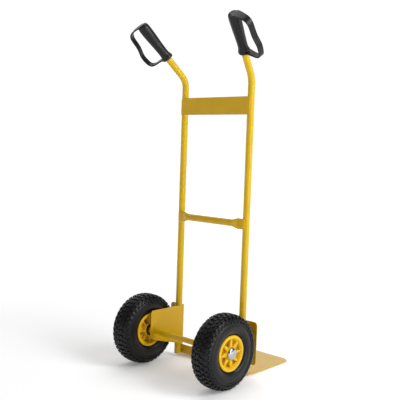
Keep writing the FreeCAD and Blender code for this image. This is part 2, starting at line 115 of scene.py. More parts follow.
class HandTruckFrameSizes(bpy.types.PropertyGroup):
    """Sizes of the welded frame."""
    rail_radius: length_property("Rail radius", "Outside radius of the rails", 0.0125)
    rail_offset: length_property("Rail offset", "Rail centre from the middle plane", 0.160)
    rail_wall: length_property("Rail wall", "Wall of the rails", 0.0015)
    bend_height: length_property("Bend height", "Corner of the rail's bend above the axle", 0.929)
    bend_radius: length_property("Bend radius", "Centreline radius of the bend", 0.065)
    handle_length: length_property("Handle length", "From the corner to the tube's end", 0.222)
    handle_tilt: angle_property("Handle tilt", "Backward tilt of the handles", 43.5)
    handle_splay: angle_property("Handle splay", "Outward splay of the handles", 12.8)
    cross_flat: length_property("Cross tube flat", "Length of each flattened end", 0.024)
    cross_taper: length_property("Cross tube taper", "Length from round to flat", 0.030)
    cross_end: length_property("Cross tube end", "Thickness of a flattened end", 0.005)
    edge_softness: length_property("Edge softness", "Rounding of sheet edges", 0.0006)
    weld_bead: length_property("Weld bead", "Half width of a weld bead", 0.0030)
    weld_step: length_property("Weld step", "Distance between weld ripples", 0.0021)


class HandTruckWheelSizes(bpy.types.PropertyGroup):
    """Sizes of the wheels."""
    tread_pitches: bpy.props.IntProperty(name="Tread pitches", description="Repeats of the tread pattern",
                                         default=40, min=8, max=120)
    tread_depth: length_property("Tread depth", "Depth of the grooves", 0.0050)
    rib_count: bpy.props.IntProperty(name="Rim ribs", description="Ribs in each half of a rim", default=8,
                                     min=3, max=24)
    cap_radius: length_property("Cap radius", "Radius of the domed hub caps", 0.0215)


class HandTruckGripSizes(bpy.types.PropertyGroup):
    """Sizes of the moulded grips."""
    start: length_property("Grip start", "From the bend's corner to the grip", 0.109)
    strap_width: length_property("Strap width", "Width of the hand guard", 0.023)
    strap_wall: length_property("Strap wall", "Thickness of the hand guard", 0.0054)
    guard_turn: angle_property("Guard turn", "Turn of the guard about the grip", -15.0)
    voxel: length_property("Voxel", "Mesh size used to fuse guard and grip", 0.0011)


class HandTruckStage(bpy.types.PropertyGroup):
    """Floor, lights and camera."""
    floor: colour_property("Floor", "Colour of the floor", (0.93, 0.93, 0.93))
    camera_place: bpy.props.FloatVectorProperty(name="Camera", description="Camera's place, from the axle",
                                                default=(1.7235, -1.7305, 0.8725), size=3,
                                                subtype="TRANSLATION", unit="LENGTH")
    camera_turn: bpy.props.FloatVectorProperty(name="Camera turn", description="Azimuth, pitch and roll",
                                               default=(math.radians(43.48), math.radians(5.71),
                                                        math.radians(0.66)), size=3, subtype="EULER",
                                               unit="ROTATION")
    focal_length: bpy.props.FloatProperty(name="Focal length", description="Lens, in millimetres",
                                          default=63.18, min=1.0, subtype="DISTANCE_CAMERA")


# ---- mesh tools -----------------------------------------------------------------------------------
def mesh_object(name, vertices, faces, material=None):
    mesh = bpy.data.meshes.new(name)
    mesh.from_pydata([tuple(v) for v in vertices], [], faces)
    mesh.update()
    piece = bpy.data.objects.new(name, mesh)
    bpy.context.scene.collection.objects.link(piece)
    if material is not None:
        mesh.materials.append(material)
    return piece


def creased(piece, angle):
    """Shade a piece smooth, with only the edges that turn by more than this many degrees sharp."""
    piece.data.shade_smooth()
    piece.data.set_sharp_from_angle(angle=math.radians(angle))
    return piece


def clean(piece, crease=35.0):
    """Merge doubles, point normals outward and keep only real edges sharp."""
    work = bmesh.new()
    work.from_mesh(piece.data)
    bmesh.ops.remove_doubles(work, verts=work.verts, dist=DOUBLES)
    bmesh.ops.recalc_face_normals(work, faces=work.faces)
    work.to_mesh(piece.data)
    work.free()
    return creased(piece, crease)


def applied(piece):
    """Replace a piece's mesh by what its modifiers make of it."""
    bpy.context.view_layer.update()
    evaluated = piece.evaluated_get(bpy.context.evaluated_depsgraph_get())
    mesh = bpy.data.meshes.new_from_object(evaluated)
    piece.modifiers.clear()
    old = piece.data
    piece.data = mesh
    bpy.data.meshes.remove(old)
    return piece


def softened(piece, width, segments=2, angle=32.0):
    """Round the edges that turn by more than this many degrees."""
    bevel = piece.modifiers.new("Soft edges", "BEVEL")
    bevel.width = width
    bevel.segments = segments
    bevel.limit_method = "ANGLE"
    bevel.angle_limit = math.radians(angle)
    bevel.harden_normals = True
    return applied(piece)


def joined(name, pieces):
    """One piece from several that share a material."""
    work = bmesh.new()
    for piece in pieces:
        work.from_mesh(piece.data)
    mesh = bpy.data.meshes.new(name)
    work.to_mesh(mesh)
    work.free()
    for material in pieces[0].data.materials:
        mesh.materials.append(material)
    for piece in pieces:
        bpy.data.objects.remove(piece)
    result = bpy.data.objects.new(name, mesh)
    bpy.context.scene.collection.objects.link(result)
    return result


def placed(piece, matrix):
    """Move a mesh, and turn its faces back out if the move mirrored it."""
    piece.data.transform(matrix)
    if matrix.determinant() < 0.0:
        piece.data.flip_normals()
    piece.data.update()
    return piece


def copied(piece, name):
    """A second piece with its own mesh."""
    twin = bpy.data.objects.new(name, piece.data.copy())
    bpy.context.scene.collection.objects.link(twin)
    return twin


def finish_piece(piece, body, node):
    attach(piece, body)
    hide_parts(node)


def mirrored_pair(piece, name, node, on_wheel=False, bevel=None):
    """Put a right-hand piece and its mirrored twin on the frame, or on the wheels they are built about."""
    twin = placed(copied(piece, "left_" + name), MIRROR)
    piece.name = "right_" + name
    for side, half in (("right", piece), ("left", twin)):
        wheel = side + "_wheel"
        placed(half, Matrix.Translation(WHEEL_CENTRE[wheel]) if on_wheel else TRUCK)
        if bevel is not None:
            half.data.set_sharp_from_angle(angle=math.radians(35.0))
            softened(half, bevel)
        finish_piece(half, wheel if on_wheel else "frame", side + "_" + node)


def rounded_profile(corners, steps=5):
    """Closed outline through (x, y, radius) corners, with each corner turned into an arc."""
    points = []
    count = len(corners)
    for index, (x, y, radius) in enumerate(corners):
        here = Vector((x, y))
        if radius <= 0.0:
            points.append(here)
            continue
        back = Vector(corners[index - 1][:2]) - here
        ahead = Vector(corners[(index + 1) % count][:2]) - here
        half = back.angle(ahead) / 2.0
        most = 0.49         # share of an edge that one arc may take up
        reach = min(radius / math.tan(half), most * back.length, most * ahead.length)
        true_radius = reach * math.tan(half)
        inward = (back.normalized() + ahead.normalized()).normalized()
        centre = here + inward * (true_radius / math.sin(half))
        start = here + back.normalized() * reach - centre
        end = here + ahead.normalized() * reach - centre
        sweep = start.angle_signed(end)
        for step in range(steps + 1):
            share = step / steps
            turn = Matrix.Rotation(-sweep * share, 2)
            points.append(centre + turn @ start)
    return points


def lathe(name, outline, segments, material):
    """Turn a closed (x, radius) outline about the X axis, with exact poles where the radius is zero."""
    vertices = []
    faces = []
    count = len(outline)
    for step in range(segments):
        angle = 2.0 * math.pi * step / segments
        for x, radius in outline:
            vertices.append((x, -radius * math.sin(angle), radius * math.cos(angle)))
    for step in range(segments):
        here = step * count
        following = (step + 1) % segments * count
        for index in range(count):
            other = (index + 1) % count
            faces.append((here + index, here + other, following + other, following + index))
    return clean(mesh_object(name, vertices, faces, material))


def ring_around(centre, across, up, wide, tall, count, power=1.0):
    """Closed ring of points, wide one way and tall the other; a power under 1 squares it off."""
    points = []
    for step in range(count):
        angle = 2.0 * math.pi * step / count
        u, v = (math.copysign(abs(part) ** power, part) for part in (math.cos(angle), math.sin(angle)))
        points.append(centre + across * (wide * u) + up * (tall * v))
    return points


def swept(name, rings, material, caps=True):
    """Skin a list of equally long closed rings of points."""
    vertices = [point for ring in rings for point in ring]
    count = len(rings[0])
    faces = []
    for index in range(len(rings) - 1):
        for side in range(count):
            other = (side + 1) % count
            here = index * count
            faces.append((here + side, here + other, here + count + other, here + count + side))
    if caps:
        faces.append(tuple(range(count)))
        faces.append(tuple(range(len(vertices) - count, len(vertices))))
    return clean(mesh_object(name, vertices, faces, material))


# ---- geometry nodes -------------------------------------------------------------------------------
class Tree:
    """Short way to write a node tree: add a node, set its inputs, link its sources."""

    def __init__(self, tree):
        self.tree = tree

    def node(self, kind, settings=None, **inputs):
        node = self.tree.nodes.new(kind)
        for key, value in (settings or {}).items():
            setattr(node, key, value)
        for key, value in inputs.items():
            self.feed(node.inputs[key.replace("_", " ")], value)
        return node

    def feed(self, socket, value):
        if isinstance(value, bpy.types.NodeSocket):
            self.tree.links.new(value, socket)
        else:
            socket.default_value = value


def geometry_tree(name, inputs):
    """A tree that takes geometry and these named inputs, with a short way to fill it."""
    tree = bpy.data.node_groups.new(name, "GeometryNodeTree")
    tree.interface.new_socket("Geometry", in_out="INPUT", socket_type="NodeSocketGeometry")
    for label, kind in inputs:
        tree.interface.new_socket(label, in_out="INPUT", socket_type=kind)
    tree.interface.new_socket("Geometry", in_out="OUTPUT", socket_type="NodeSocketGeometry")
    return tree, Tree(tree), tree.nodes.new("NodeGroupInput")


def close_tree(tree, build, source, instances):
    """End a tree with Realize Instances and Set Material."""
    real = build.node("GeometryNodeRealizeInstances", Geometry=instances)
    painted = build.node("GeometryNodeSetMaterial", Geometry=real.outputs[0],
                         Material=source.outputs["Material"])
    output = tree.nodes.new("NodeGroupOutput")
    build.feed(output.inputs["Geometry"], painted.outputs[0])


def spin_tree():
    """Copies of the input geometry at equal steps about the X axis through a centre."""
    tree, build, source = geometry_tree("Copies around the axle", [
        ("Count", "NodeSocketInt"), ("Centre", "NodeSocketVector"), ("Material", "NodeSocketMaterial")])
    points = build.node("GeometryNodePoints", Count=source.outputs["Count"],
                        Position=source.outputs["Centre"])
    index = build.node("GeometryNodeInputIndex")
    whole = build.node("ShaderNodeMath", {"operation": "DIVIDE"})
    whole.inputs[0].default_value = 2.0 * math.pi
    build.feed(whole.inputs[1], source.outputs["Count"])
    turn = build.node("ShaderNodeMath", {"operation": "MULTIPLY"})
    build.feed(turn.inputs[0], index.outputs[0])
    build.feed(turn.inputs[1], whole.outputs[0])
    angles = build.node("ShaderNodeCombineXYZ", X=turn.outputs[0])
    rotation = build.node("FunctionNodeEulerToRotation", Euler=angles.outputs[0])
    copies = build.node("GeometryNodeInstanceOnPoints", Points=points.outputs[0],
                        Instance=source.outputs["Geometry"], Rotation=rotation.outputs[0])
    close_tree(tree, build, source, copies.outputs[0])
    return tree


def bead_tree():
    """Copies of the input geometry along a line, each a little different, as weld ripples are."""
    tree, build, source = geometry_tree("Ripples along a weld", [
        ("Count", "NodeSocketInt"), ("Start", "NodeSocketVector"), ("Step", "NodeSocketVector"),
        ("Unevenness", "NodeSocketFloat"), ("Seed", "NodeSocketInt"), ("Material", "NodeSocketMaterial")])
    line = build.node("GeometryNodeMeshLine", Count=source.outputs["Count"],
                      Start_Location=source.outputs["Start"], Offset=source.outputs["Step"])
    low = build.node("ShaderNodeMath", {"operation": "SUBTRACT"})
    low.inputs[0].default_value = 1.0
    build.feed(low.inputs[1], source.outputs["Unevenness"])
    size = build.node("FunctionNodeRandomValue", {"data_type": "FLOAT"})
    build.feed(size.inputs[2], low.outputs[0])
    size.inputs[3].default_value = 1.0
    build.feed(size.inputs["Seed"], source.outputs["Seed"])
    copies = build.node("GeometryNodeInstanceOnPoints", Points=line.outputs[0],
                        Instance=source.outputs["Geometry"], Scale=size.outputs[1])
    close_tree(tree, build, source, copies.outputs[0])
    return tree


def grown(piece, tree, values):
    """Run a geometry tree on a piece with these named inputs, and keep the plain mesh."""
    modifier = piece.modifiers.new(tree.name, "NODES")
    modifier.node_group = tree
    sockets = {item.name: item.identifier for item in tree.interface.items_tree
               if item.item_type == "SOCKET" and item.in_out == "INPUT"}
    for label, value in values.items():
        modifier[sockets[label]] = value
    return applied(piece)


def shared_tree(name, make):
    """The named tree, made on first use."""
    return bpy.data.node_groups.get(name) or make()


def spun(piece, count, centre, material):
    """Copies of a piece around the axle, as one mesh."""
    tree = shared_tree("Copies around the axle", spin_tree)
    return grown(piece, tree, {"Count": count, "Centre": centre, "Material": material})


# ---- materials ------------------------------------------------------------------------------------
def new_material(name):
    material = bpy.data.materials.new(name)
    material.use_nodes = True
    nodes = material.node_tree.nodes
    shader = next(n for n in nodes if n.type == "BSDF_PRINCIPLED")
    return material, Tree(material.node_tree), shader


def noise(build, scale, detail=3.0, roughness=0.55, stretch=None):
    """Object-space noise; stretch squeezes it along each axis."""
    place = build.node("ShaderNodeTexCoord").outputs["Object"]
    if stretch is not None:
        place = build.node("ShaderNodeMapping", Vector=place, Scale=stretch).outputs[0]
    node = build.node("ShaderNodeTexNoise", Vector=place, Scale=scale, Detail=detail, Roughness=roughness)
    return node.outputs["Fac"]


def spread(build, value, low, high, from_low=0.3, from_high=0.7):
    """Map a value from one range onto another, and hold it there."""
    node = build.node("ShaderNodeMapRange", Value=value, To_Min=low, To_Max=high)
    node.inputs["From Min"].default_value = from_low
    node.inputs["From Max"].default_value = from_high
    return node.outputs[0]


def blended(build, share, first, second):
    """Colour between two others."""
    node = build.node("ShaderNodeMix", {"data_type": "RGBA"})
    build.feed(node.inputs["Factor"], share)
    build.feed(node.inputs[6], first)
    build.feed(node.inputs[7], second)
    return node.outputs[2]


def opaque(colour):
    return (*colour, 1.0)


def shaded(colour, factor, more=0.0):
    return tuple(channel * factor + more for channel in colour)


def weathered(name, tones, cloud, rough, bump, haze=None, grain=None, pebbles=None, most=1.0, **constants):
    """Material whose colour and roughness drift between two values over object-space noise.

    cloud, haze and grain give the noise (scale, detail, roughness, stretch) of the colour, the roughness
    and the bumps; what has none of its own follows the colour's.  pebbles is the scale of a cellular
    grain.  bump is (height, strength), and most is how far the second tone comes through.  The constants
    go to the shader's own sockets.
    """
    material, build, shader = new_material(name)
    drift = noise(build, *cloud)
    tone = blended(build, spread(build, drift, 0.0, most), *(opaque(tone) for tone in tones))
    build.feed(shader.inputs["Base Color"], tone)
    patches = noise(build, *haze) if haze else drift
    build.feed(shader.inputs["Roughness"], spread(build, patches, *rough))
    relief = noise(build, *grain) if grain else drift
    if pebbles:
        place = build.node("ShaderNodeTexCoord").outputs["Object"]
        cells = build.node("ShaderNodeTexVoronoi", {"feature": "SMOOTH_F1"}, Vector=place, Scale=pebbles)
        relief = cells.outputs["Distance"]
    height, strength = bump
    bumps = build.node("ShaderNodeBump", Height=relief, Distance=height, Strength=strength)
    build.feed(shader.inputs["Normal"], bumps.outputs[0])
    for socket, value in constants.items():
        shader.inputs[socket.replace("_", " ")].default_value = value
    return material


def enamel(finishes, lift):
    """Glossy paint: slight mottling, orange peel, and roughness that wanders; lift raises the green, which for the
    rails is painted sheen standing in for the whitish reflections along them.
    """
    thin, thick = ((red, green * lift, blue) for red, green, blue in (finishes.paint, finishes.paint_deep))
    return dict(tones=(thin, thick), cloud=(14.0, 4.0), haze=(60.0, 5.0, 0.65), rough=(0.17, 0.26),
                grain=(1.0 / finishes.orange_peel, 2.0, 0.5), bump=(0.00005, 0.08),
                Coat_Weight=0.20, Coat_Roughness=0.15, Specular_IOR_Level=0.26,
                Specular_Tint=(1.0, 0.90, 0.36, 1.0))


def metal(colour, rough, marks=(160.0, 5.0, 0.6), strength=0.05):
    """Bare or plated metal with fine marks."""
    return dict(tones=(colour, shaded(colour, 0.9)), cloud=marks, rough=rough, bump=(0.0001, strength),
                Metallic=1.0)


def soft_black(shade, rough):
    """Plain dark rubber or plastic of small hidden parts."""
    colour = (shade, shade, shade)
    return dict(tones=(colour, shaded(colour, 1.6)), cloud=(120.0, 3.0), rough=(rough, rough + 0.12),
                bump=(0.0001, 0.1))


def recipes(finishes):
    """How each finish is made."""
    rim, rubber, grip = finishes.rim, finishes.rubber, finishes.grip
    return {
        "Yellow enamel": enamel(finishes, 1.0),
        # the same enamel with its green raised: painted sheen for the rails' reflections
        "Yellow rail enamel with painted sheen": enamel(finishes, finishes.rail_sheen_lift),
        # bright moulded plastic with faint flow marks
        "Yellow rim plastic": dict(
            tones=(rim, shaded(rim, 0.88)), cloud=(35.0, 3.0), haze=(180.0, 4.0), rough=(0.26, 0.40),
            grain=(900.0, 2.0), bump=(0.00005, 0.2), Specular_Tint=(1.0, 0.78, 0.28, 1.0),
            Subsurface_Weight=0.12, Subsurface_Radius=(0.004, 0.0015, 0.0004), Subsurface_Scale=1.0),
        # matt rubber with a dry bloom and fine moulding grain
        "Tyre rubber": dict(
            tones=(rubber, shaded(rubber, 2.2, 0.002)), cloud=(28.0, 6.0, 0.7), most=0.5,
            haze=(90.0, 5.0, 0.6), rough=(0.28, 0.44), grain=(1500.0, 3.0, 0.6), bump=(0.00008, 0.3),
            Specular_IOR_Level=0.26),
        # moulded black plastic with a fine pebbled texture
        "Grip plastic": dict(
            tones=(grip, shaded(grip, 1.7)), cloud=(40.0, 4.0), most=0.6, haze=(120.0, 4.0),
            rough=(0.26, 0.38), pebbles=700.0, bump=(0.0001, 0.2), Specular_IOR_Level=0.27),
        "Bright plating": metal(finishes.plating, (0.04, 0.10), (40.0, 5.0, 0.6), 0.01),
        "Yellow zinc": metal((0.62, 0.44, 0.16), (0.28, 0.42)),
        "White zinc": metal((0.58, 0.59, 0.61), (0.25, 0.40)),
        "Bearing steel": metal((0.50, 0.51, 0.53), (0.18, 0.30), (160.0, 5.0, 0.6, (4.0, 1.0, 1.0))),
        "Valve brass": metal((0.60, 0.42, 0.18), (0.22, 0.34), (160.0, 5.0, 0.6, (1.0, 1.0, 4.0))),
        "Inner tube rubber": soft_black(0.010, 0.50),
        "Seal rubber": soft_black(0.008, 0.40),
        "Valve cap plastic": soft_black(0.010, 0.35),
    }


def finish(name):
    """The named material, made on first use."""
    found = bpy.data.materials.get(name)
    return found or weathered(name, **recipes(bpy.context.scene.hand_truck_finishes)[name])


def floor_paper(colour):
    """Pale paper that glows more the farther it is from the truck, so that it fades into the backdrop."""
    material, build, shader = new_material("Studio floor")
    share = spread(build, noise(build, 2.0, 2.0), 0.0, 1.0)
    build.feed(shader.inputs["Base Color"],
               blended(build, share, opaque(colour), opaque(shaded(colour, 0.985))))
    shader.inputs["Roughness"].default_value = 0.9
    away = build.node("ShaderNodeVectorMath", {"operation": "LENGTH"})
    build.feed(away.inputs[0], build.node("ShaderNodeTexCoord").outputs["Object"])
    near_glow, far_glow, near, far = 0.16, 0.66, 0.7, 4.0
    glow = spread(build, away.outputs["Value"], near_glow, far_glow, near, far)
    shader.inputs["Emission Color"].default_value = (1.0, 1.0, 1.0, 1.0)
    build.feed(shader.inputs["Emission Strength"], glow)
    return material


# ---- frame pieces ---------------------------------------------------------------------------------
class HANDTRUCK_OT_small_parts(bpy.types.Operator):
    """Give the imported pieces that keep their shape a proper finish"""
    bl_idname = "hand_truck.small_parts"
    bl_label = "Small Parts"

    FINISHES = {"bearing_inner_rings": "Bearing steel", "bearing_outer_rings": "Bearing steel",
                "bearing_balls": "Bearing steel", "bearing_seals": "Seal rubber",
                "inner_tube": "Inner tube rubber", "valve_stem": "Valve brass",
                "valve_cap": "Valve cap plastic", "rim_screws": "Yellow zinc", "axle_washer": "White zinc",
                "axle_spacer": "Yellow enamel", "dust_ring": "Seal rubber"}

    def execute(self, context):
        for side, _ in SIDES:
            for name, material in self.FINISHES.items():
                for slot in frame["nodes"][side + "_" + name].material_slots:
                    slot.material = finish(material)
        return {"FINISHED"}


def soft_copy(node, name, width):
    """A packed sheet or bar as a new piece, merged, with its flat faces whole and its edges rounded."""
    piece = copied(frame["nodes"][node], name)
    work = bmesh.new()
    work.from_mesh(piece.data)
    bmesh.ops.remove_doubles(work, verts=work.verts, dist=2.0 * DOUBLES)
    nearly_flat = math.radians(0.6)
    bmesh.ops.dissolve_limit(work, angle_limit=nearly_flat, verts=work.verts, edges=work.edges)
    bmesh.ops.recalc_face_normals(work, faces=work.faces)
    work.to_mesh(piece.data)
    work.free()
    piece.data.materials.clear()
    piece.data.materials.append(finish("Yellow enamel"))
    return softened(creased(piece, 32.0), width)


class HANDTRUCK_OT_sheet_metal(bpy.types.Operator):
    """Build the toe plate, the axle brackets, the upper cross plate and the axle with rounded edges"""
    bl_idname = "hand_truck.sheet_metal"
    bl_label = "Sheet Metal and Axle"

    def execute(self, context):
        width = context.scene.hand_truck_frame.edge_softness
        for node in ("toe_plate", "upper_cross_plate", "right_axle_bracket", "left_axle_bracket", "axle"):
            piece = soft_copy(node, "painted_" + node, width)
            finish_piece(piece, "frame", node)
        return {"FINISHED"}


def handle_direction(sizes):
    """Unit vector up the right handle, in truck coordinates."""
    flat = math.cos(sizes.handle_splay)
    return Vector((math.sin(sizes.handle_splay), -math.sin(sizes.handle_tilt) * flat,
                   math.cos(sizes.handle_tilt) * flat))


def rail_corner(sizes):
    """Where the straight part and the handle of the right rail's centreline would meet."""
    return Vector((sizes.rail_offset, RAIL_HIGH.y - sizes.rail_radius, sizes.bend_height))


class HANDTRUCK_OT_rails(bpy.types.Operator):
    """Build both rails: one tube each, straight, bent and running into the handle"""
    bl_idname = "hand_truck.rails"
    bl_label = "Rails"

    def execute(self, context):
        sizes = context.scene.hand_truck_frame
        upper = handle_direction(sizes)
        corner = rail_corner(sizes)
        up = Vector((0.0, 0.0, 1.0))
        turn = up.angle(upper)
        hinge = up.cross(upper).normalized()
        reach = sizes.bend_radius * math.tan(turn / 2.0)
        start = corner - up * reach
        inward = (upper - up * upper.dot(up)).normalized()
        pivot = start + inward * sizes.bend_radius
        before_bend = 0.002
        stations = [(Vector((corner.x, corner.y, RAIL_LOW.z)), 0.0)]
        stations += [(corner - up * (reach + before_bend), 0.0)]
        steps = 20
        for step in range(steps + 1):
            angle = turn * step / steps
            stations.append((pivot + Matrix.Rotation(angle, 3, hinge) @ (start - pivot), angle))
        stations.append((corner + upper * sizes.handle_length, turn))
        rings = []
        bore = sizes.rail_radius - sizes.rail_wall
        for radius, order in ((sizes.rail_radius, stations), (bore, reversed(stations))):
            for centre, angle in order:
                tip = Matrix.Rotation(angle, 3, hinge)
                rings.append(ring_around(centre, hinge, tip @ up.cross(hinge), radius, radius, 48))
        rings.append(rings[0])
        # the rails take the enamel whose raised green is painted sheen
        piece = swept("right_tube_rail", rings, finish("Yellow rail enamel with painted sheen"), caps=False)
        mirrored_pair(piece, "tube_rail", "rail", bevel=0.0003)
        return {"FINISHED"}


class HANDTRUCK_OT_cross_tube(bpy.types.Operator):
    """Build the middle cross tube, round in the middle and pressed flat where it meets the rails"""
    bl_idname = "hand_truck.cross_tube"
    bl_label = "Middle Cross Tube"

    def execute(self, context):
        sizes = context.scene.hand_truck_frame
        middle = (CROSS_HIGH + CROSS_LOW) / 2.0
        radius = (CROSS_HIGH.y - CROSS_LOW.y) / 2.0
        end_thin = sizes.cross_end / 2.0
        end_tall = (CROSS_HIGH.z - CROSS_LOW.z) / 2.0
        end = CROSS_HIGH.x
        shoulder = end - sizes.cross_flat
        steps = 14
        stations = [(end, 1.0), (shoulder, 1.0)]
        stations += [(shoulder - sizes.cross_taper * step / steps, 1.0 - step / steps)
                     for step in range(1, steps + 1)]
        stations += [(-x, flat) for x, flat in reversed(stations)]
        rings = []
        for x, flat in stations:
            ease = flat * flat * (3.0 - 2.0 * flat)
            thin = radius + (end_thin - radius) * ease
            tall = radius + (end_tall - radius) * ease
            rings.append(ring_around(Vector((x, middle.y, middle.z)), Vector((0.0, 1.0, 0.0)),
                                     Vector((0.0, 0.0, 1.0)), thin, tall, 64, 1.0 - 0.5 * ease))
        piece = swept("round_cross_tube", rings, finish("Yellow enamel"))
        placed(piece, TRUCK)
        softened(piece, width=0.0004, angle=50.0)
        finish_piece(piece, "frame", "middle_cross_tube")
        return {"FINISHED"}


def ripple(radius, name):
    """One flattened lens of weld metal with its axis along Z."""
    # distance from the axis and height, as shares of the bead's half width and of the ripple's height
    outline = [(0.0, -0.42), (0.55, -0.34), (0.9, -0.16), (1.0, 0.0), (0.9, 0.16), (0.55, 0.34), (0.0, 0.42)]
    height = 1.5 * radius
    rings = [ring_around(Vector((0.0, 0.0, share * height)), Vector((1.0, 0.0, 0.0)),
                         Vector((0.0, 1.0, 0.0)), reach * radius, reach * radius, 14)
             for reach, share in outline]
    return swept(name, rings, finish("Yellow enamel"), caps=False)


class HANDTRUCK_OT_welds(bpy.types.Operator):
    """Build the painted weld beads, ripple by ripple"""
    bl_idname = "hand_truck.welds"
    bl_label = "Welds"

    def straight(self, sizes, name, x, y, low, high, seed):
        """Mirrored pair of upright beads."""
        tree = shared_tree("Ripples along a weld", bead_tree)
        count = max(2, int((high - low) / sizes.weld_step))
        bead = grown(ripple(sizes.weld_bead, name + "_bead"), tree, {
            "Count": count, "Start": (x, y, low), "Step": (0.0, 0.0, (high - low) / count),
            "Unevenness": 0.16, "Seed": seed, "Material": finish("Yellow enamel")})
        twin = placed(copied(bead, name + "_bead_twin"), MIRROR)
        pair = placed(joined(name + "_bead_ripples", [bead, twin]), TRUCK)
        pair.data.shade_smooth()
        finish_piece(pair, "frame", name + "_welds")

    def execute(self, context):
        sizes = context.scene.hand_truck_frame
        middle = rail_corner(sizes).y
        rear = middle - sizes.rail_radius
        front = middle + sizes.rail_radius
        corner = 0.62 * sizes.rail_radius       # from the rail's centre to a bead in the corner beside it
        inset = 0.004                           # bead's ends inside those of the joint
        bracket_low, bracket_high = in_truck("bracket_welds")
        toe_low, toe_high = in_truck("toe_plate_welds")
        # joint, then the bead's X and Y, its lowest and its highest point; the offsets bed it in its corner
        beads = (
            ("upper_plate", PLATE_HIGH.x + 0.0008, rear - 0.0006, PLATE_LOW.z + inset, PLATE_HIGH.z - inset),
            ("cross_tube", CROSS_HIGH.x + 0.0004, rear - 0.0008, CROSS_LOW.z + inset, CROSS_HIGH.z - inset),
            ("bracket", bracket_high.x - 0.0016, middle - corner, bracket_low.z, bracket_high.z),
            ("toe_plate", sizes.rail_offset - corner, front - 0.0014, toe_low.z, toe_high.z))
        for seed, (name, x, y, low, high) in enumerate(beads, 1):
            self.straight(sizes, name, x, y, low, high, seed)
        ring_radius, ripples, sunk = 0.0112, 38, 0.0010
        bracket_face = in_truck("axle_welds")[1].x - sunk
        upright = Matrix.Translation((0.0, 0.0, ring_radius)) @ Matrix.Rotation(math.pi / 2.0, 4, "X")
        rings = []
        for side, sign in SIDES:
            single = placed(ripple(sizes.weld_bead, side + "_axle_ripple"), upright)
            rings.append(spun(single, ripples, (sign * bracket_face, 0.0, 0.0), finish("Yellow enamel")))
        ring = placed(joined("axle_bead_ripples", rings), TRUCK)
        ring.data.shade_smooth()
        finish_piece(ring, "frame", "axle_welds")
        return {"FINISHED"}


# ---- grips ----------------------------------------------------------------------------------------
def smooth_path(points, steps=10):
    """Points along a Catmull-Rom curve through the given ones, ends included."""
    padded = [points[0] * 2.0 - points[1]] + list(points) + [points[-1] * 2.0 - points[-2]]
    result = []
    for index in range(1, len(padded) - 2):
        before, here, there, after = padded[index - 1:index + 3]
        for step in range(steps):
            t = step / steps
            result.append(0.5 * ((2.0 * here) + (there - before) * t
                                 + (2.0 * before - 5.0 * here + 4.0 * there - after) * t * t
                                 + (3.0 * here - before - 3.0 * there + after) * t * t * t))
    result.append(points[-1])
    return result


